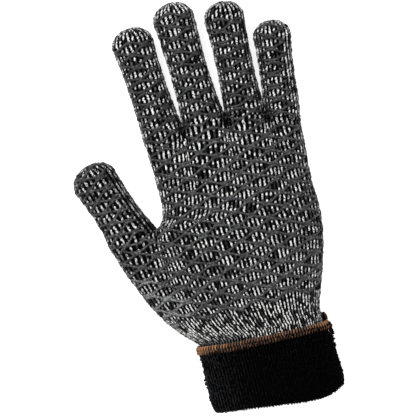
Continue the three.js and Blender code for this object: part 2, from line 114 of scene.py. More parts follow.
# along, left, right, top, bottom
heelShape = [
    (0.1, -0.462, 0.409, 0.935, 0.065), (0.2, -0.54, 0.44, 0.955, 0.035), (0.35, -0.63, 0.495, 0.99, 0.005),
    (0.55, -0.706, 0.562, 1.0, -0.012), (0.78, -0.772, 0.588, 0.96, -0.012), (1, -0.826, 0.58, 0.89, -0.012),
]
knuckleShape = [
    (0, -0.49, 0.58, 0.88, -0.012), (0.08, -0.44, 0.578, 0.865, -0.012), (0.2, -0.417, 0.576, 0.83, -0.012),
    (0.4, -0.413, 0.584, 0.77, -0.012), (0.7, -0.414, 0.594, 0.68, -0.012), (1, -0.426, 0.61, 0.6, -0.012),
]
thumbRootY = hand["cuff"] + hand["heel"]
webs = [
    np.array([across * hand["breadth"], thumbRootY + along * hand["knuckle"]])
    for across, along in ((-0.153, 1.17), (0.137, 1.18), (0.4, 1.09))
]
thumbOuter = np.array([heelShape[-1][1] * hand["breadth"], thumbRootY])
thumbInner = np.array([-0.49 * hand["breadth"], thumbRootY + 0.06 * hand["heel"]])
heelRight = np.array([heelShape[-1][2] * hand["breadth"], thumbRootY])
indexOuter = np.array([knuckleShape[-1][1] * hand["breadth"], thumbRootY + 1.06 * hand["knuckle"]])
littleOuter = np.array([knuckleShape[-1][2] * hand["breadth"], thumbRootY + 0.9 * hand["knuckle"]])
roots = {
    "thumb": (thumbOuter, thumbInner), "index": (indexOuter, webs[0]), "middle": (webs[0], webs[1]),
    "ring": (webs[1], webs[2]), "little": (webs[2], littleOuter),
}
fingerColumns = 24


def arch(columns, halfWidth, rise, power):
    angle = np.linspace(0, math.pi, 241)
    c = np.cos(angle)
    across = -np.sign(c) * np.abs(c) ** (2 / power)
    up = np.clip(np.sin(angle), 0, 1) ** (2 / power)
    steps = np.hypot(np.diff(across) * halfWidth, np.diff(up) * rise)
    reach = np.concatenate([[0], np.cumsum(steps)])
    wanted = np.linspace(0, reach[-1], columns + 1)
    newAcross = np.interp(wanted, reach, across) if reach[-1] > 1e-6 else np.linspace(-1, 1, columns + 1)
    newUp = np.interp(wanted, reach, up) if reach[-1] > 1e-6 else np.zeros(columns + 1)
    newUp[0] = newUp[-1] = 0
    return newAcross, newUp


def section(left, right, bottom, top, columns):
    middle = bottom + (top - bottom) * hand["midHeight"]
    centre, half = (left + right) / 2, (right - left) / 2
    width = float(np.hypot(*half))
    made = {}
    sides = (("front", top - middle, hand["palmPower"]), ("back", bottom - middle, hand["backPower"]))
    for side, rise, power in sides:
        across, up = arch(columns, width, abs(rise), power)
        points = np.empty((columns + 1, 3))
        points[:, :2] = centre + across[:, None] * half
        points[:, 2] = np.maximum(0, middle + rise * up)
        made[side] = points
        if side == "front":
            made["crown"] = up
    return made


def joined(parts):
    made = {"front": [], "back": [], "crown": []}
    for i, part in enumerate(parts):
        crown = part["crown"].copy()
        middle = (len(crown) - 1) / 2
        for j in range(len(crown)):
            if (i == 0 and j <= middle) or (i == len(parts) - 1 and j > middle):
                crown[j] = 1
        start = 1 if i else 0
        made["front"].append(part["front"][start:])
        made["back"].append(part["back"][start:])
        made["crown"].append(crown[start:])
    return {key: np.concatenate(value) for key, value in made.items()}


def between(a, b, planShare, crownShare, webShare):
    share = webShare + (crownShare - webShare) * b["crown"]
    made = {"crown": a["crown"] + (b["crown"] - a["crown"]) * planShare}
    for side in ("front", "back"):
        points = a[side] + (b[side] - a[side]) * planShare
        points[:, 2] = a[side][:, 2] + (b[side][:, 2] - a[side][:, 2]) * share
        made[side] = points
    return made


def webAt(share, start):
    t = clamp01((share - start) / (1 - start))
    return 1 - math.sqrt(1 - t * t)


def capOf(name):
    length, width = fingers[name][:2]
    return hand["tipRound"] * width * hand["breadth"] / (length * hand["fingerLength"])


def fingerRow(name, place):
    length, width, depth, lean, lift, tipLift = fingers[name]
    rootLeft, rootRight = roots[name]
    lean = math.radians(lean)
    forward = np.array([math.sin(lean), math.cos(lean)])
    sideways = np.array([forward[1], -forward[0]])
    centre = (rootLeft + rootRight) / 2 + forward * place * length * hand["fingerLength"]
    cap = clamp01((place - 1 + capOf(name)) / capOf(name))
    rounded = (1 - cap ** 2.3) ** (1 / 2.1)
    fullWidth = width * hand["breadth"] * readRows(fingerShape, place, 1) * rounded
    fullDepth = depth * hand["fingerDepth"] * readRows(fingerShape, place, 2) * rounded
    keep = 1 - smooth(place / hand["rootBlend"])
    half = sideways * fullWidth / 2 * (1 - keep) + (rootRight - rootLeft) / 2 * keep
    axis = hand["fingerDepth"] * (lift + tipLift * place ** 2 + depth / 2)
    return section(centre - half, centre + half, axis - fullDepth / 2, axis + fullDepth / 2, fingerColumns)


palmFingers = ["index", "middle", "ring", "little"]
fingerRoots = joined([fingerRow(name, 0) for name in palmFingers])


def knuckleRow(share):
    left = np.array([
        readRows(knuckleShape, share, 1) * hand["breadth"],
        thumbInner[1] + share * (indexOuter[1] - thumbInner[1]),
    ])
    right = np.array([
        readRows(knuckleShape, share, 2) * hand["breadth"],
        heelRight[1] + share * (littleOuter[1] - heelRight[1]),
    ])
    bottom, top = (readRows(knuckleShape, share, c) * hand["depth"] for c in (4, 3))
    plain = section(left, right, bottom, top, 4 * fingerColumns)
    return between(plain, fingerRoots, smooth(share), smooth((share - 0.4) / 0.6), webAt(share, 0.72))


thumbAndPalm = joined([fingerRow("thumb", 0), knuckleRow(0)])


def heelRow(share):
    y = hand["cuff"] + share * hand["heel"]
    left = np.array([readRows(heelShape, share, 1) * hand["breadth"], y])
    right = np.array([readRows(heelShape, share, 2) * hand["breadth"], y])
    bottom, top = (readRows(heelShape, share, c) * hand["depth"] for c in (4, 3))
    plain = section(left, right, bottom, top, 5 * fingerColumns)
    planShare = smooth((share - 0.15) / 0.85)
    return between(plain, thumbAndPalm, planShare, smooth((share - 0.5) / 0.5), webAt(share, 0.8))


def wristRow(y):
    half = hand["wristWidth"] / 2
    bottom = hand["wristBottom"]
    ends = np.array([-half, y]), np.array([half, y])
    return section(*ends, bottom, bottom + hand["wristDepth"], 5 * fingerColumns)


def eased(count, power=1.5):
    t = np.linspace(0, 1, count + 1)
    return 1 - (1 - t) ** power


heelRows = [wristRow(y) for y in (7, 16, 26, 34, 40, 44, 47.3)]
heelRows += [heelRow(0.1 + 0.9 * s) for s in eased(36)]
knuckleRows = [knuckleRow(s) for s in eased(28)]
fingerRows = {}
for name in fingers:
    cap = capOf(name)
    shaft = [s * (1 - cap) for s in np.linspace(0, 1, 27)]
    crown = [1 - cap * (1 - math.sin(s * math.pi / 2)) for s in np.linspace(0, 1, 9)[1:]]
    fingerRows[name] = [fingerRow(name, p) for p in shaft + crown]


# One strip of the glove per finger, wrist to tip: a grid of rows by columns on each side
def stripOf(name, side):
    order = ["thumb"] + palmFingers
    start = order.index(name) * fingerColumns
    rows = [row[side][start:start + fingerColumns + 1] for row in heelRows]
    if name != "thumb":
        rows += [row[side][start - fingerColumns:start + 1] for row in knuckleRows[1:]]
    rows += [row[side] for row in fingerRows[name][1:]]
    return np.array(rows)


strips = {(name, side): stripOf(name, side) for name in fingers for side in ("front", "back")}
print("stage: hand surface computed")


# One sheet of faces per call, laid through rows of points
def addSheet(bm, rows, layer=None, values=None):
    rows = np.asarray(rows, dtype=float)
    made = bmesh.ops.create_grid(bm, x_segments=rows.shape[1] - 1, y_segments=rows.shape[0] - 1, size=1)
    for i, (vert, place) in enumerate(zip(made["verts"], rows.reshape(-1, 3))):
        vert.co = place
        if layer is not None:
            vert[layer] = values[i]


# Welds what meets, closes the ends and turns the faces outward
def closeSeams(bm, fillEnds=True, weld=0.002):
    bmesh.ops.remove_doubles(bm, verts=bm.verts, dist=weld)
    bmesh.ops.dissolve_degenerate(bm, edges=bm.edges, dist=weld / 4)
    if fillEnds:
        bmesh.ops.holes_fill(bm, edges=[edge for edge in bm.edges if edge.is_boundary], sides=0)
    bmesh.ops.recalc_face_normals(bm, faces=bm.faces)


def newPiece(mesh, name, material, slot, *replaced):
    mesh.shade_smooth()
    mesh.materials.append(material)
    piece = bpy.data.objects.new(name, mesh)
    bpy.context.scene.collection.objects.link(piece)
    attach(piece, "root")
    if replaced:
        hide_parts(*replaced)
    mesh.calc_loop_triangles()
    print("stage:", name, len(mesh.loop_triangles), "triangles")
    return piece


def pieceFrom(bm, name, material, slot, *replaced):
    bmesh.ops.translate(bm, verts=bm.verts, vec=shift)
    bmesh.ops.scale(bm, verts=bm.verts, vec=(0.001, 0.001, 0.001))
    mesh = bpy.data.meshes.new(name)
    bm.to_mesh(mesh)
    bm.free()
    return newPiece(mesh, name, material, slot, *replaced)


# A small shape's points and triangles, for copies
def shapeOf(bm):
    bmesh.ops.recalc_face_normals(bm, faces=bm.faces)
    bmesh.ops.triangulate(bm, faces=bm.faces)
    bm.verts.index_update()
    points = np.array([vert.co for vert in bm.verts])
    faces = np.array([[vert.index for vert in face.verts] for face in bm.faces])
    bm.free()
    return points, faces


# Many copies of one small shape in one mesh, each with its place and three axes
def copiesOf(shape, name, places, axes, tones, material, slot):
    points, faces = shape
    spots = np.einsum("pk,nkc->npc", points, axes) + places[:, None]
    spots[..., 2] = np.maximum(spots[..., 2], floorGap)
    corners = (faces[None] + len(points) * np.arange(len(places))[:, None, None]).reshape(-1)
    mesh = bpy.data.meshes.new(name)
    mesh.vertices.add(spots.shape[0] * spots.shape[1])
    mesh.vertices.foreach_set("co", toScene(spots.reshape(-1, 3)).astype(np.float32).ravel())
    mesh.loops.add(len(corners))
    mesh.loops.foreach_set("vertex_index", corners.astype(np.int32))
    mesh.polygons.add(len(corners) // 3)
    mesh.polygons.foreach_set("loop_start", np.arange(0, len(corners), 3, dtype=np.int32))
    mesh.update(calc_edges=True)
    layer = mesh.attributes.new("tone", "FLOAT", "POINT")
    layer.data.foreach_set("value", np.asarray(tones, dtype=np.float32).ravel())
    return newPiece(mesh, name, material, slot)


def linear(hexColour):
    channels = [int(hexColour[i:i + 2], 16) / 255 for i in (1, 3, 5)]
    return [c / 12.92 if c <= 0.04045 else ((c + 0.055) / 1.055) ** 2.4 for c in channels] + [1.0]


def addNode(tree, kind, settings=None, links=None):
    node = tree.nodes.new(kind)
    for key, value in (settings or {}).items():
        if key == "stops":
            while len(node.color_ramp.elements) < len(value):
                node.color_ramp.elements.new(0.5)
            for element, (place, colour) in zip(node.color_ramp.elements, value):
                element.position, element.color = place, linear(colour)
        elif isinstance(key, int) or key in node.inputs.keys():
            node.inputs[key].default_value = value
        else:
            setattr(node, key, value)
    for key, source in (links or {}).items():
        tree.links.new(source, node.inputs[key])
    return node


def newMaterial(name, colour, roughness, ior, specular, sheen=0.0):
    material = bpy.data.materials.new(name)
    material.use_nodes = True
    shader = material.node_tree.nodes["Principled BSDF"]
    shader.inputs["Base Color"].default_value = linear(colour)
    shader.inputs["Roughness"].default_value = roughness
    shader.inputs["IOR"].default_value = ior
    shader.inputs["Specular IOR Level"].default_value = specular
    shader.inputs["Sheen Weight"].default_value = sheen
    shader.inputs["Sheen Roughness"].default_value = 0.4
    return material, material.node_tree, shader


def unit(vectors):
    return vectors / np.maximum(1e-9, np.linalg.norm(vectors, axis=-1))[..., None]


# Knitted ground: the glove's surface, drawn in below the tops of the stitches
ground = dict(colour="#030304", furrow=1.0, below=0.8, wall=1.2, thinBelow=2.6, weld=0.08)
# Knitted black cotton: fully matt, so the furrows between the wales read as near black. Its fibres are too fine
# to show, so the bump is as wide as a furrow
groundMaterial, tree, shader = newMaterial("knitted_black_cotton", ground["colour"], 0.95, 1.54, 0.05)
place = addNode(tree, "ShaderNodeTexCoord")
furrows = addNode(
    tree, "ShaderNodeTexNoise", {"Scale": 1000 / ground["furrow"]}, {"Vector": place.outputs["Object"]},
)
bump = addNode(
    tree, "ShaderNodeBump", {"Strength": 0.6, "Distance": 0.0003}, {"Height": furrows.outputs["Fac"]},
)
tree.links.new(bump.outputs["Normal"], shader.inputs["Normal"])

groundMesh = bmesh.new()
for rows in strips.values():
    addSheet(groundMesh, rows)
closeSeams(groundMesh, fillEnds=False, weld=ground["weld"])
groundMesh.normal_update()
nearestVert = KDTree(len(groundMesh.verts))
for i, vert in enumerate(groundMesh.verts):
    nearestVert.insert(vert.co, i)
nearestVert.balance()
# Drawn in by most of a stitch's height, so that the stitches' tops come near the solid's surface
for vert in groundMesh.verts:
    vert.co -= vert.normal * ground["below"]
vertPlaces = np.array([vert.co for vert in groundMesh.verts])
vertNormals = np.array([vert.normal for vert in groundMesh.verts])
stripNormals = {}
for key, rows in strips.items():
    nearest = [[nearestVert.find(Vector(p))[1] for p in row] for row in rows]
    strips[key], stripNormals[key] = vertPlaces[nearest], vertNormals[nearest]
groundTree = BVHTree.FromBMesh(groundMesh)
# The wall thins out where front and back meet between the fingers
wallShares = []
for place, normal in zip(vertPlaces, vertNormals):
    across = groundTree.ray_cast(Vector(place - 0.02 * normal), Vector(-normal))[3]
    wallShares.append(1 if across is None else clamp01(across / (ground["thinBelow"] * ground["wall"])))
knitNodes = ["knit_palm"] + ["knit_" + name for name in fingers]
knit = pieceFrom(groundMesh, "knit_ground", groundMaterial, "knit_cotton", *knitNodes)
depthGroup = knit.vertex_groups.new(name="depth")
for i, share in enumerate(wallShares):
    depthGroup.add([i], share, "REPLACE")
wall = knit.modifiers.new("wall", "SOLIDIFY")
wall.thickness, wall.offset, wall.use_even_offset = ground["wall"] / 1000, -1, False
wall.vertex_group = depthGroup.name

# Grip net: strands of soft rubber in waves over the gripped side, side by side where two waves meet
net = dict(
    width=1.5, knot=2.4, heelWidth=0.38, height=0.85, lift=0.3, part=0.5, step=0.95, wander=0.13, grain=1.3,
    palmWave=21.1, palmPitch=9.1, palmRound=0.8, palmX=2, palmY=90.5, palmRows=(-4, 11), palmReach=(-86, 62),
    fingerWave=18.8, fingerReach=(-15, 15), lowest=64.5, scallop=2.2,
)
# How far the palm's net keeps from its left and right edges, and from the thumb's root across and along
palmEdges = dict(left=0.4, right=1.5, crotch=3, thumb=2)
# Strands are worn light at the heel's left edge and darker towards the fingers
strandTone = dict(worn=0.3, heel=0.03, palm=0.04, finger=0.1, mottle=0.1)
# For each finger: its main column of gaps across, the first gap along, the number of gaps, their pitch, the
# bare strip at its right edge and where its net starts
fingerNets = {
    "thumb": dict(across=-5.5, first=3.1, gaps=6, pitch=8.1, bare=5.0, start=-5),
    "index": dict(across=-2.5, first=2.3, gaps=8, pitch=8.2, bare=2.0, start=-2),
    "middle": dict(across=-3.0, first=2.7, gaps=9, pitch=8.1, bare=3.0, start=-2),
    "ring": dict(across=-4.7, first=1.8, gaps=8, pitch=8.1, bare=3.2, start=-2),
    "little": dict(across=-2.5, first=-0.2, gaps=8, pitch=7.9, bare=5.0, start=-2),
}
# Where the palm's net ends below each finger
palmTop = dict(index=175, middle=177, ring=176, little=168)


# The ground's place and normal straight below a point
def onSurface(x, y):
    place, normal, _, _ = groundTree.ray_cast(Vector((x, y, 80)), Vector((0, 0, -1)))
    return None if place is None else (np.array(place), np.array(normal))


def outlineAt(y):
    rows = [row["front"] for row in heelRows[6:] + knuckleRows[1:]]
    along = [row[0][1] for row in rows]
    left = np.interp(y, along, [row[0][0] for row in rows])
    return left, np.interp(y, [row[-1][1] for row in rows], [row[-1][0] for row in rows])


def fingerFrame(name):
    lean = math.radians(fingers[name][3])
    forward = np.array([math.sin(lean), math.cos(lean)])
    return sum(roots[name]) / 2, forward, np.array([forward[1], -forward[0]])


def onPalm(x, y):
    left, right = outlineAt(y)
    wave = math.cos(2 * math.pi * (x - net["palmX"]) / net["palmWave"])
    low = net["lowest"] + net["scallop"] * wave + 0.05 * max(0, -x - 20)
    nearest = min(palmFingers, key=lambda name: abs(sum(roots[name])[0] / 2 - x))
    if not (left + palmEdges["left"] < x < right - palmEdges["right"] and low < y < palmTop[nearest]):
        return False
    root, forward, _ = fingerFrame("thumb")
    beyond = (np.array([x, y]) - root).dot(forward)
    return x > thumbInner[0] + palmEdges["crotch"] or beyond < -palmEdges["thumb"]


# Splits a run of points where they leave the gripped region
def keptRuns(points, isInside):
    runs, run = [], []
    for point in points:
        if isInside(*point[:2]):
            run.append(point)
        else:
            runs.append(run)
            run = []
    runs.append(run)
    return [run for run in runs if len(run) > 2]


# How near a strand is to a knot, where it lies beside its neighbour
def knotAt(across, wave):
    return np.abs(np.cos(2 * math.pi * across / wave)) ** 3


# How far a strand lies from the middle of its row of gaps
def waveAt(across, pitch, wave, power=1):
    share = (1 + np.cos(2 * math.pi * across / wave)) / 2
    return net["part"] + (pitch / 2 - 2 * net["part"]) * share ** power


def strandLines():
    lines = []
    pitch = net["palmPitch"]
    for j in range(*net["palmRows"]):
        for family in (1, -1):
            across = np.arange(*net["palmReach"], net["step"])
            away = across - net["palmX"]
            drift = net["wander"] * (np.sin(across / 3.1 + j * 2.3) + np.sin(across / 1.9 + j + family))
            wave = waveAt(away, pitch, net["palmWave"], net["palmRound"])
            along = net["palmY"] + pitch * j + family * wave + drift
            lines += keptRuns(list(zip(across, along, knotAt(away, net["palmWave"]))), onPalm)
    for name, spot in fingerNets.items():
        length, width = fingers[name][:2]
        root, forward, sideways = fingerFrame(name)
        across = np.arange(*net["fingerReach"], net["step"])

        def onFinger(x, y):
            away = np.array([x, y]) - root
            s, t = away.dot(sideways), away.dot(forward)
            share = clamp01(t / (length * hand["fingerLength"]))
            half = width * hand["breadth"] * readRows(fingerShape, share, 1) / 2
            return -half + 0.25 < s < half - spot["bare"] and t > spot["start"]

        for j in range(-1, spot["gaps"] + 1):
            for family in (-1, 1):
                # Only the thumb has a last strand over its end
                if j == spot["gaps"] and (family == 1 or name != "thumb"):
                    continue
                drift = net["wander"] * (np.sin(across / 2.7 + j * 1.7) + np.sin(across / 1.7 + j + family))
                wave = waveAt(across - spot["across"], spot["pitch"], net["fingerWave"])
                along = spot["first"] + spot["pitch"] * j + family * wave + drift
                knots = knotAt(across - spot["across"], net["fingerWave"])
                places = [(*(root + forward * t + sideways * s), k) for s, t, k in zip(across, along, knots)]
                lines += keptRuns(places, onFinger)
    return lines


def addStrand(bm, layer, line):
    spots = [(*onSurface(x, y), knot) for x, y, knot in line if onSurface(x, y) is not None]
    # A strand ends where the surface turns down
    spots = [spot for spot in spots if spot[1][2] > 0.08]
    if len(spots) < 3:
        return []
    places, normals, knots = (np.array(part) for part in zip(*spots))
    padded = np.pad(normals, ((1, 1), (0, 0)), mode="edge")
    normals = unit(padded[:-2] + 2 * padded[1:-1] + padded[2:])
    sides = unit(np.cross(np.gradient(places, axis=0), normals))
    # across, up, tone; the tone is a painted highlight along the top and painted shade down to the feet
    profile = [
        (-0.35, -0.9, 0), (-0.5, 0, 0), (-0.44, 0.6, 0.3), (-0.24, 0.95, 0.5), (0, 1, 0.48),
        (0.24, 0.95, 0.46), (0.44, 0.6, 0.25), (0.5, 0, 0), (0.35, -0.9, 0), (-0.35, -0.9, 0),
    ]
    rows, tones = [], []
    for i in range(len(places)):
        taper = 0.55 if i in (0, len(places) - 1) else 1
        x, y = places[i][:2]
        low = fade(y, 98, 82)
        wornAt = fade(x + 0.9 * max(0, y - 75), -32, -44) * fade(y, 114, 94)
        change = strandTone["worn"] * wornAt + strandTone["heel"] * low
        change -= strandTone["palm"] + strandTone["finger"] * fade(y, 150, 180)
        width = net["width"] + (net["knot"] - net["width"]) * knots[i]
        width += net["heelWidth"] * low * (1 + knots[i])
        width *= taper * rng.uniform(0.9, 1.12)
        height = net["height"] * rng.uniform(0.85, 1.1)
        rows.append([])
        for across, up, tone in profile:
            lift = height * up + (net["lift"] if up >= 0 else 0)
            rows[-1].append(places[i] + sides[i] * across * width + normals[i] * lift)
            mottle = rng.uniform(-strandTone["mottle"], strandTone["mottle"])
            tones.append(tone + (change if up > 0.1 else 0) + mottle)
    addSheet(bm, rows, layer, tones)
    return list(places + normals * net["lift"])


# Soft moulded rubber: dull grey, mottled where dust and wear sit on it, with a painted highlight along each
# rounded top and painted shade at its feet
rubberMaterial, tree, shader = newMaterial("moulded_grey_rubber", "#4b4b4d", 0.6, 1.52, 0.35)
place = addNode(tree, "ShaderNodeTexCoord")
grain = addNode(
    tree, "ShaderNodeTexNoise", {"Scale": 1000 / net["grain"], "Detail": 3, "Roughness": 0.7},
    {"Vector": place.outputs["Object"]},
)
tone = addNode(tree, "ShaderNodeAttribute", {"attribute_name": "tone"})
swing = addNode(
    tree, "ShaderNodeMath", {"operation": "MULTIPLY_ADD", 1: 2.2, 2: -1.1}, {0: grain.outputs["Fac"]},
)
total = addNode(tree, "ShaderNodeMath", {"operation": "ADD"}, {0: tone.outputs["Fac"], 1: swing.outputs[0]})
colour = addNode(
    tree, "ShaderNodeValToRGB",
    {"stops": [(0, "#0a0a0b"), (0.3, "#262628"), (0.6, "#4a4a4c"), (1, "#a2a2a2")]},
    {"Fac": total.outputs[0]},
)
bump = addNode(
    tree, "ShaderNodeBump", {"Strength": 0.7, "Distance": 0.0004}, {"Height": grain.outputs["Fac"]},
)
tree.links.new(colour.outputs["Color"], shader.inputs["Base Color"])
tree.links.new(bump.outputs["Normal"], shader.inputs["Normal"])

netMesh = bmesh.new()
toneLayer = netMesh.verts.layers.float.new("tone")
centreLine = []
for line in strandLines():
    centreLine += addStrand(netMesh, toneLayer, line)
closeSeams(netMesh)
pieceFrom(netMesh, "grip_strands", rubberMaterial, "net_rubber", "grip_net")
strandTree = KDTree(len(centreLine))
for i, spot in enumerate(centreLine):
    strandTree.insert(Vector(spot), i)
strandTree.balance()

# Wales: one leaf-shaped stitch after another up each column, white yarn broken by dark
stitch = dict(
    length=3.1, pitch=2.1, width=0.5, widest=1.7, height=0.95, sink=0.1, startY=42.5, stopShort=0.3,
    ahead=0.7, widths=(0.85, 1.15), heights=(0.75, 1.5), lengths=(0.85, 1.1), turn=5, stray=0.12, fibre=1.1,
)
# Shares of stitches that are dark, and dark or grey, and how far a stitch follows its neighbours
marl = dict(dark=0.27, grey=0.36, mixing=0.15, heel=-0.01, heelTop=66)
yarnTones = dict(white=(0.85, 1.1), grey=(0.3, 0.65), black=(0.0, 0.15))
# Wales in each strip of the hand and on each side of a finger, and how far the stitches slant, in degrees
waleCounts = dict(hand=10, heelThumb=10, finger=12)
slants = dict(hand=7, finger=20, thumb=24)
# How near a strand a stitch is darkened with painted shadow of the strand, on the strand's upper and lower side
strandShadow = dict(hidden=0.8, above=1.2, below=2.0, least=0.1)
# Shade between the fingers, on the sides that turn away (strength and power), on the thumb and above the
# binding's left end
crotch = dict(dark=1.4, clear=5.5, least=0.12)
turned = dict(right=(0.5, 1.3), left=(0.3, 2), tip=(0.35, 1.5))
shade = dict(thumb=0.82, thumbX=-45, hemX=-12, hemSlope=0.047, hemReach=5.0, hemLeast=0.25)
crotches = [np.array([*spot, 0.0]) for spot in [thumbInner + np.array([-1.5, 3.0]), *webs]]

leaf = bmesh.new()
bmesh.ops.create_uvsphere(leaf, u_segments=5, v_segments=4, radius=0.5)
bmesh.ops.rotate(leaf, verts=leaf.verts, cent=(0, 0, 0), matrix=Matrix.Rotation(math.pi / 2, 3, "X"))
leafShape = shapeOf(leaf)


def waleLines(name, side):
    grid, normals = strips[(name, side)], stripNormals[(name, side)]
    root = len(grid) - len(fingerRows[name])
    for zone, rows in (("hand", slice(0, root + 1)), ("finger", slice(root, None))):
        count = waleCounts["heelThumb" if name == "thumb" and zone == "hand" else zone]
        for w in range(count):
            column = (w + 0.5) / count * fingerColumns
            j = int(column)
            f = column - j
            low, high = grid[rows, j], grid[rows, j + 1]
            apart = np.linalg.norm(high - low, axis=1) * fingerColumns / count
            slant = slants["thumb" if name == "thumb" and zone == "finger" else zone]
            if zone == "finger":
                slant *= math.sin(math.pi * column / fingerColumns) ** 0.6
            lineNormals = unit(normals[rows, j] * (1 - f) + normals[rows, j + 1] * f)
            yield low * (1 - f) + high * f, lineNormals, apart, slant


def stitchTones(places, normals, points, side):
    count = len(places)
    chance = rng.uniform(0, 1, count + 2)
    chance = (1 - marl["mixing"]) * chance[1:-1] + marl["mixing"] * (chance[:-2] + chance[2:]) / 2
    chance -= np.where(places[:, 1] < marl["heelTop"], marl["heel"], 0)
    tone = rng.uniform(*yarnTones["white"], count)
    tone = np.where(chance < marl["grey"], rng.uniform(*yarnTones["grey"], count), tone)
    tone = np.where(chance < marl["dark"], rng.uniform(*yarnTones["black"], count), tone)
    tone *= np.where(places[:, 0] < shade["thumbX"], shade["thumb"], 1)
    aboveHem = places[:, 1] - hand["cuff"] + shade["hemSlope"] * places[:, 0]
    hemShade = np.clip(aboveHem / shade["hemReach"], shade["hemLeast"], 1)
    tone *= np.where(places[:, 0] < shade["hemX"], hemShade, 1)
    for way, facing in (("right", normals[:, 0]), ("left", -normals[:, 0]), ("tip", normals[:, 1])):
        strength, power = turned[way]
        tone *= 1 - strength * np.clip(facing, 0, 1) ** power
    tones = np.repeat(tone[:, None], points.shape[1], axis=1)
    # Painted shadow of the strands: each stitch point darkens near the nearest strand, further below it than
    # above
    if side == "front":
        for i, spots in enumerate(points):
            for k, spot in enumerate(spots):
                strand, _, away = strandTree.find(Vector(spot))
                clear = strandShadow["below"] if strand.y > spot[1] else strandShadow["above"]
                share = (away - strandShadow["hidden"]) / (clear - strandShadow["hidden"])
                tones[i, k] *= min(1, max(strandShadow["least"], share))
    for spot in crotches:
        away = np.linalg.norm((points - spot)[..., :2], axis=-1)
        tones *= np.clip((away - crotch["dark"]) / (crotch["clear"] - crotch["dark"]), crotch["least"], 1)
    return tones


def layWales(side):
    allPlaces, allAxes, allTones = [], [], []
    for name in fingers:
        for line, lineNormals, apart, slant in waleLines(name, side):
            lengths = np.concatenate([[0], np.cumsum(np.linalg.norm(np.diff(line, axis=0), axis=1))])
            begin = np.interp(stitch["startY"], line[:, 1], lengths)
            begin += rng.uniform(0, 1) * stitch["pitch"]
            spots = np.arange(begin, lengths[-1] - stitch["stopShort"], stitch["pitch"])
            count = len(spots)
            if count == 0:
                continue
            centres, normals, before, after = (
                np.stack([np.interp(where, lengths, table[:, k]) for k in range(3)], axis=1)
                for table, where in (
                    (line, spots), (lineNormals, spots),
                    (line, spots - stitch["ahead"]), (line, spots + stitch["ahead"]),
                )
            )
            normals = unit(normals)
            tangents = after - before
            tangents = unit(tangents - normals * np.sum(tangents * normals, axis=1)[:, None])
            rights = np.cross(tangents, normals)
            turn = np.radians(slant + rng.normal(0, stitch["turn"], count))[:, None]
            ahead = tangents * np.cos(turn) + rights * np.sin(turn)
            rights = rights * np.cos(turn) - tangents * np.sin(turn)
            widths = stitch["width"] * np.interp(spots, lengths, apart)
            widths *= rng.uniform(*stitch["widths"], count)
            widths = np.minimum(widths, stitch["widest"])
            highs = stitch["height"] * rng.uniform(*stitch["heights"], count)
            longs = stitch["length"] * rng.uniform(*stitch["lengths"], count)
            axes = np.stack([
                rights * widths[:, None], ahead * longs[:, None], normals * highs[:, None],
            ], axis=1)
            places = centres + normals * (highs / 2 - stitch["sink"])[:, None]
            places = places + rights * rng.normal(0, stitch["stray"], count)[:, None]
            points = np.einsum("pk,nkc->npc", leafShape[0], axes) + places[:, None]
            allPlaces.append(places)
            allAxes.append(axes)
            allTones.append(stitchTones(places, normals, points, side))
    return np.concatenate(allPlaces), np.concatenate(allAxes), np.concatenate(allTones)


# Spun heather cotton: soft white stitches with no shine, broken by grey and black. One fibre is about 0.02 mm
# and wouldn't show, so the fibre pattern is drawn about 1 mm wide
yarnMaterial, tree, shader = newMaterial("spun_heather_cotton", "#dededc", 0.9, 1.54, 0.2, sheen=0.1)
place = addNode(tree, "ShaderNodeTexCoord")
fibres = addNode(
    tree, "ShaderNodeTexNoise", {"Scale": 1000 / stitch["fibre"], "Detail": 2, "Roughness": 0.6},
    {"Vector": place.outputs["Object"]},
)
strength = addNode(
    tree, "ShaderNodeMapRange", {"From Min": 0.36, "From Max": 0.58, "To Min": 0.2, "To Max": 1.38},
    {"Value": fibres.outputs["Fac"]},
)
tone = addNode(tree, "ShaderNodeAttribute", {"attribute_name": "tone"})
total = addNode(
    tree, "ShaderNodeMath", {"operation": "MULTIPLY"},
    {0: tone.outputs["Fac"], 1: strength.outputs["Result"]},
)
colour = addNode(
    tree, "ShaderNodeValToRGB", {"stops": [(0, "#040405"), (0.5, "#808082"), (1, "#fffffd")]},
    {"Fac": total.outputs[0]},
)
bump = addNode(
    tree, "ShaderNodeBump", {"Strength": 0.5, "Distance": 0.0003}, {"Height": fibres.outputs["Fac"]},
)
tree.links.new(colour.outputs["Color"], shader.inputs["Base Color"])
tree.links.new(bump.outputs["Normal"], shader.inputs["Normal"])
for side, name in (("front", "wales_palm"), ("back", "wales_back")):
    copiesOf(leafShape, name, *layWales(side), yarnMaterial, "knit_cotton")


# Wrist ring for the cuff and its binding
def wristStations(count):
    row = wristRow(0)
    ring = np.concatenate([row["front"], row["back"][1:-1][::-1]])[:, [0, 2]]
    closed = np.concatenate([ring, ring[:1]])
    lengths = np.concatenate([[0], np.cumsum(np.linalg.norm(np.diff(closed, axis=0), axis=1))])
    wanted = np.linspace(0, lengths[-1], count, endpoint=False)
    spots = np.stack([np.interp(wanted, lengths, closed[:, k]) for k in (0, 1)], axis=1)
    tangents = unit(np.roll(spots, -1, axis=0) - np.roll(spots, 1, axis=0))
    return spots, np.stack([-tangents[:, 1], tangents[:, 0]], axis=1)


band = dict(gap=0.4, wall=3.0, inner=-2.8, innerWall=2.3, slope=-0.047, stations=160, weave=1.2)
# Across the wrist from edge to edge, and how far towards the hand the cuff's lower edge lies there
foldLine = [(-1.15, 3.4), (-0.6, 1.8), (0, -1.4), (0.55, -3.9), (0.85, -2.8), (1.15, 2.4)]


def bandPoint(spot, out, proud, y, top, fold):
    across = spot[0] / (hand["wristWidth"] / 2)
    lift = top * band["slope"] * spot[0] + fold * readRows(foldLine, across, 1)
    return np.array([spot[0] + out[0] * proud, y + lift, max(0.0, spot[1] + out[1] * proud)])


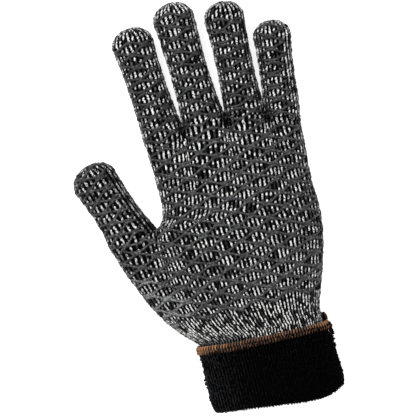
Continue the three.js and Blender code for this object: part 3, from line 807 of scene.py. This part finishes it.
def addBand(bm, outline, count):
    spots, outs = wristStations(count)
    around = list(range(count)) + [0]
    addSheet(bm, [[bandPoint(spots[i], outs[i], *row) for row in outline + outline[:1]] for i in around])
    closeSeams(bm, fillEnds=False)


# Turned cuff: a thick fold, outside, round the lower edge and a guessed way in
face = band["gap"] + band["wall"]
inside = band["inner"] - band["innerWall"]
# proud, y, top, fold
cuffOutline = [
    (face - 1.4, 40.2, 1, 0), (face - 0.7, 30, 0.7, 0.2), (face - 0.7, 22, 0.5, 0.4),
    (face - 0.5, 14, 0.2, 0.7), (face, 7.6, 0, 1), (face - 0.5, 4.6, 0, 1),
    (band["gap"] + 1.9, 2.5, 0, 1), (-0.2, 1.8, 0, 1), (-2.6, 2.2, 0, 1),
    (inside + 0.6, 3.6, 0, 1), (inside, 8.6, 0, 1), (inside, 16, 0, 0.4), (inside, 26, 0, 0),
    (band["inner"] - 1.2, 29.5, 0, 0), (band["inner"], 30, 0, 0), (band["inner"], 6.6, 0, 0),
    (band["gap"], 6.6, 0, 0), (band["gap"], 40.2, 1, 0),
]
# Looped black cotton, seen only between the loops: no shine, nearly lightless
terryMaterial, tree, shader = newMaterial("looped_black_cotton", "#030303", 1.0, 1.54, 0.02, sheen=0.02)
place = addNode(tree, "ShaderNodeTexCoord")
weave = addNode(
    tree, "ShaderNodeTexNoise", {"Scale": 1000 / band["weave"]}, {"Vector": place.outputs["Object"]},
)
bump = addNode(
    tree, "ShaderNodeBump", {"Strength": 0.6, "Distance": 0.0004}, {"Height": weave.outputs["Fac"]},
)
tree.links.new(bump.outputs["Normal"], shader.inputs["Normal"])
cuffMesh = bmesh.new()
addBand(cuffMesh, cuffOutline, band["stations"])
pieceFrom(cuffMesh, "terry_ground", terryMaterial, "terry_cotton", "terry_cuff")

# Terry pile: short loops in columns all over the turned cuff, and over the lower part of its binding
pile = dict(
    along=1.3, columns=100, height=1.1, width=1.5, thick=0.72, sink=0.25, top=38.6, cover=4.4,
    leastCover=0.36, tuck=1.3, edge=1.1, edgeBelow=9, missing=0.03, shift=0.16, stray=0.35, turn=0.45,
    leanAcross=0.25, leanAlong=0.3, sizes=(0.6, 1.15), tall=1.6, tallShare=0.12,
)
# Light caught by the loops towards the cuff's left side and at its left edge
pileTone = dict(lit=0.6, edgeLit=0.35, mottle=0.45)
loop = bmesh.new()
bmesh.ops.create_circle(loop, segments=3, radius=pile["thick"] / 2)
bmesh.ops.translate(loop, verts=loop.verts, vec=(pile["width"] / 2, 0, 0))
bmesh.ops.spin(
    loop, geom=loop.edges[:], cent=(0, 0, 0), axis=(0, -1, 0), dvec=(0, 0, 0), angle=math.pi, steps=4,
    use_merge=False, use_duplicate=False,
)
bmesh.ops.holes_fill(loop, edges=[edge for edge in loop.edges if edge.is_boundary], sides=0)
loopShape = shapeOf(loop)


def layPile():
    outline = [(face + 0.4, pile["top"] + pile["cover"], 1, 0), (face + 0.3, pile["top"] + 0.6, 1, 0)]
    outline += cuffOutline[1:13]
    fine = []
    for a, b in zip(outline, outline[1:]):
        steps = max(1, round(math.hypot(b[0] - a[0], b[1] - a[1]) / pile["along"]))
        fine += [tuple(np.array(a) + (np.array(b) - np.array(a)) * s / steps) for s in range(steps)]
    count = pile["columns"]
    spots, outs = wristStations(count)
    places, axes, tones = [], [], []
    for r in range(1, len(fine) - 1):
        for i in range(count):
            if rng.uniform() < pile["missing"]:
                continue
            k = (i + rng.uniform(-pile["shift"], pile["shift"])) % count
            i0, i1, f = int(k) % count, (int(k) + 1) % count, k - int(k)
            spot = spots[i0] * (1 - f) + spots[i1] * f
            out = outs[i0] * (1 - f) + outs[i1] * f
            jitter = rng.uniform(-pile["stray"], pile["stray"])
            row = fine[r]
            cover = pile["cover"] * (pile["leastCover"] + (1 - pile["leastCover"]) * fade(spot[0], -40, -18))
            if row[1] - pile["top"] > cover * rng.uniform(0.85, 1):
                continue
            tucked = fade(spot[0], -30, -36) * (0.5 + pile["tuck"] * fade(row[1], 27, 37))
            centre = bandPoint(spot, out, row[0] - tucked, row[1] + jitter, row[2], row[3])
            along = unit(bandPoint(spot, out, *fine[r + 1]) - bandPoint(spot, out, *fine[r - 1]))
            tangent = unit(np.array([spots[i1][0] - spots[i0][0], 0, spots[i1][1] - spots[i0][1]]))
            normal = np.cross(along, tangent)
            if normal.dot(np.array([out[0], 0, out[1]])) < 0 and row[0] > 0:
                normal = -normal
            spin = math.pi / 2 + rng.uniform(-pile["turn"], pile["turn"])
            side = tangent * math.cos(spin) + along * math.sin(spin)
            lean = tangent * rng.uniform(-pile["leanAcross"], pile["leanAcross"])
            lean += along * rng.uniform(-pile["leanAlong"], pile["leanAlong"])
            high = pile["height"] / (pile["width"] / 2) * rng.uniform(*pile["sizes"])
            high *= pile["tall"] if rng.uniform() < pile["tallShare"] else 1
            high = min(high, pile["edge"]) if row[1] < pile["edgeBelow"] else high
            places.append(centre - normal * pile["sink"])
            axes.append([side, np.cross(side, normal), (normal + lean) * high])
            lit = pileTone["lit"] * fade(spot[0], -5, -39) + pileTone["edgeLit"] * fade(spot[0], -31, -39)
            tones.append([lit + rng.uniform(0, pileTone["mottle"])] * len(loopShape[0]))
    return np.array(places), np.array(axes), np.array(tones)


# Black terry loops: soft and matt, black but for dark grey tips where the light grazes them
pileMaterial, tree, shader = newMaterial("black_terry_loops", "#060607", 1.0, 1.54, 0.02, sheen=0.03)
tone = addNode(tree, "ShaderNodeAttribute", {"attribute_name": "tone"})
colour = addNode(
    tree, "ShaderNodeValToRGB", {"stops": [(0, "#010101"), (0.45, "#070708"), (1, "#303133")]},
    {"Fac": tone.outputs["Fac"]},
)
tree.links.new(colour.outputs["Color"], shader.inputs["Base Color"])
copiesOf(loopShape, "terry_pile", *layPile(), pileMaterial, "terry_cotton")

# Overlocked binding: slanting brown threads wrapped over the cuff's edge, tight side by side
hem = dict(
    top=45, height=4.9, threads=108, slant=-0.6, radius=0.52, sides=5, fine=4, lower=0.9, backRise=4.2,
    backBelow=16, coreStations=120,
)
# The threads' tone at the left end, lighter there as a painted highlight, and how it changes in the middle, at
# the right end, behind and lower down
threadTone = dict(left=0.78, middle=-0.34, right=0.2, back=-0.3, lower=0.08, mottle=0.22)


# The binding stands full at the cuff's left end and is drawn in towards the right
def drawnIn(x):
    return hem["lower"] * fade(x, -36, -20)


def hemPoint(spot, out, proud, y, top=1, fold=0):
    point = bandPoint(spot, out, proud, y, top, fold)
    point[1] -= drawnIn(spot[0])
    if spot[1] < hem["backBelow"]:
        share = 1 + (y - hem["top"]) / hem["height"]
        point[1] += hem["backRise"] * share * fade(spot[0], 24, 36) + drawnIn(spot[0])
    return point


gap = band["gap"]
coreOutline = [
    (gap, hem["top"] - hem["height"]), (gap, hem["top"] - 1.8), (gap + 1.36, hem["top"] - 0.1),
    (gap + 2.5, hem["top"] - 1.1), (gap + 2.8, hem["top"] - 3), (gap + 2.7, hem["top"] - hem["height"]),
]
# Brown polyester under the threads: its matt dark brown is painted shade for the gaps between them
coreMaterial, tree, shader = newMaterial("brown_polyester_painted_shade", "#0f0906", 0.9, 1.57, 0.1)
coreMesh = bmesh.new()
spots, outs = wristStations(hem["coreStations"])
addSheet(coreMesh, [
    [hemPoint(spots[i], outs[i], *row) for row in coreOutline + coreOutline[:1]]
    for i in [*range(hem["coreStations"]), 0]
])
closeSeams(coreMesh, fillEnds=False)
pieceFrom(coreMesh, "overlock_core", coreMaterial, "hem_thread", "hem_binding")

# across, proud, y
upperThread = [(0, 0.2, -2.6), (0.15, 0.9, -0.15), (0.4, 2.2, 0.0), (0.75, 3.05, -1.1), (1.0, 3.1, -2.55)]
lowerThread = [(0, 2.9, -2.8), (0.25, 3.2, -3.1), (0.7, 3.2, -3.9), (1.0, 2.9, -4.8)]


def addThread(bm, layer, route, i, spots, outs, tone):
    rows = []
    places = []
    for share, proud, y in route:
        k = int(round((i + hem["slant"] * share) * hem["fine"])) % len(spots)
        places.append(hemPoint(spots[k], outs[k], gap + proud, hem["top"] + y))
    places = np.array(places)
    tangents = unit(np.gradient(places, axis=0))
    angles = [2 * math.pi * k / hem["sides"] for k in [*range(hem["sides"]), 0]]
    outward = np.array([outs[i * hem["fine"]][0], 0, outs[i * hem["fine"]][1]])
    for place, tangent in zip(places, tangents):
        side = unit(np.cross(tangent, outward))
        up = np.cross(side, tangent)
        ring = [place + (side * math.cos(angle) + up * math.sin(angle)) * hem["radius"] for angle in angles]
        rows.append([np.array([p[0], p[1], max(floorGap, p[2])]) for p in ring])
    addSheet(bm, rows, layer, [tone] * (len(angles) * len(rows)))


# Spun brown polyester: a soft gleam along each round thread, each thread its own brown
threadMaterial, tree, shader = newMaterial("spun_brown_polyester", "#8a5c3c", 0.7, 1.57, 0.35)
tone = addNode(tree, "ShaderNodeAttribute", {"attribute_name": "tone"})
colour = addNode(
    tree, "ShaderNodeValToRGB", {"stops": [(0, "#271b14"), (0.5, "#6f4f3a"), (1, "#c78f64")]},
    {"Fac": tone.outputs["Fac"]},
)
tree.links.new(colour.outputs["Color"], shader.inputs["Base Color"])
threadMesh = bmesh.new()
toneLayer = threadMesh.verts.layers.float.new("tone")
spots, outs = wristStations(hem["threads"] * hem["fine"])
for i in range(hem["threads"]):
    x, z = spots[i * hem["fine"]]
    # Painted highlight: the threads are lightest at the left end and darker towards the middle
    bright = threadTone["left"] + threadTone["middle"] * fade(x, -41, -7)
    bright += threadTone["right"] * fade(x, 24, 36)
    if z < hem["backBelow"] and x > 0:
        bright += threadTone["back"]
    for route, lower in ((upperThread, 0), (lowerThread, threadTone["lower"])):
        tone = bright - lower + rng.uniform(-threadTone["mottle"], threadTone["mottle"])
        addThread(threadMesh, toneLayer, route, i, spots, outs, tone)
closeSeams(threadMesh)
pieceFrom(threadMesh, "overlock_threads", threadMaterial, "hem_thread")

# Floor, light and camera
studio = dict(floorSize=6, floorZ=-0.0003, glow=0.82, world=0.32, aim=(0, 0, 0.02))
bpy.ops.mesh.primitive_plane_add(size=studio["floorSize"], location=(0, 0, studio["floorZ"]))
floor = bpy.context.object
floor.name = "floor"
# Matt white board: plain white, with only faint shadows
floorMaterial, tree, shader = newMaterial("matt_white_board", "#fafafa", 0.9, 1.5, 0.1)
shader.inputs["Emission Color"].default_value = linear("#ffffff")
shader.inputs["Emission Strength"].default_value = studio["glow"]
floor.data.materials.append(floorMaterial)
floor.visible_diffuse = False

world = bpy.data.worlds.new("studio")
bpy.context.scene.world = world
world.use_nodes = True
world.node_tree.nodes["Background"].inputs["Color"].default_value = (1, 1, 1, 1)
world.node_tree.nodes["Background"].inputs["Strength"].default_value = studio["world"]


def softLight(name, place, size, power):
    data = bpy.data.lights.new(name, "AREA")
    data.shape = "DISK"
    data.size = size
    data.energy = power
    lamp = bpy.data.objects.new(name, data)
    bpy.context.scene.collection.objects.link(lamp)
    lamp.location = place
    lamp.rotation_mode = "QUATERNION"
    lamp.rotation_quaternion = (Vector(studio["aim"]) - Vector(place)).to_track_quat("-Z", "Y")


softLight("key", (-0.45, 0.8, 1.05), size=0.6, power=14.3)
softLight("fill", (0.75, -0.4, 1.1), size=1.0, power=4.5)

# Camera: straight down on the palm, with the hand turned as in the photo
photo = dict(
    scale=0.625, size=416, tilt=15, originX=280.5, originY=402.4, plane=16, lens=170, sensor=36,
)
tilt = math.radians(photo["tilt"])
towards = (photo["size"] / 2 - np.array([photo["originX"], photo["originY"]])) * photo["scale"]
axisX = np.array([math.cos(tilt), -math.sin(tilt)])
axisY = np.array([-math.sin(tilt), -math.cos(tilt)])
middle = toScene([towards.dot(axisX), towards.dot(axisY), photo["plane"]])
cameraData = bpy.data.cameras.new("camera")
camera = bpy.data.objects.new("camera", cameraData)
bpy.context.scene.collection.objects.link(camera)
bpy.context.scene.camera = camera
cameraData.lens, cameraData.sensor_width = photo["lens"], photo["sensor"]
frameWidth = photo["size"] * photo["scale"] / 1000
distance = frameWidth * cameraData.lens / cameraData.sensor_width
camera.location = (middle[0], middle[1], middle[2] + distance)
camera.rotation_euler = (0, 0, -tilt)
cameraData.clip_start, cameraData.clip_end = 0.01, 20
bpy.context.scene.view_settings.view_transform = "Standard"
print("stage: camera and light")
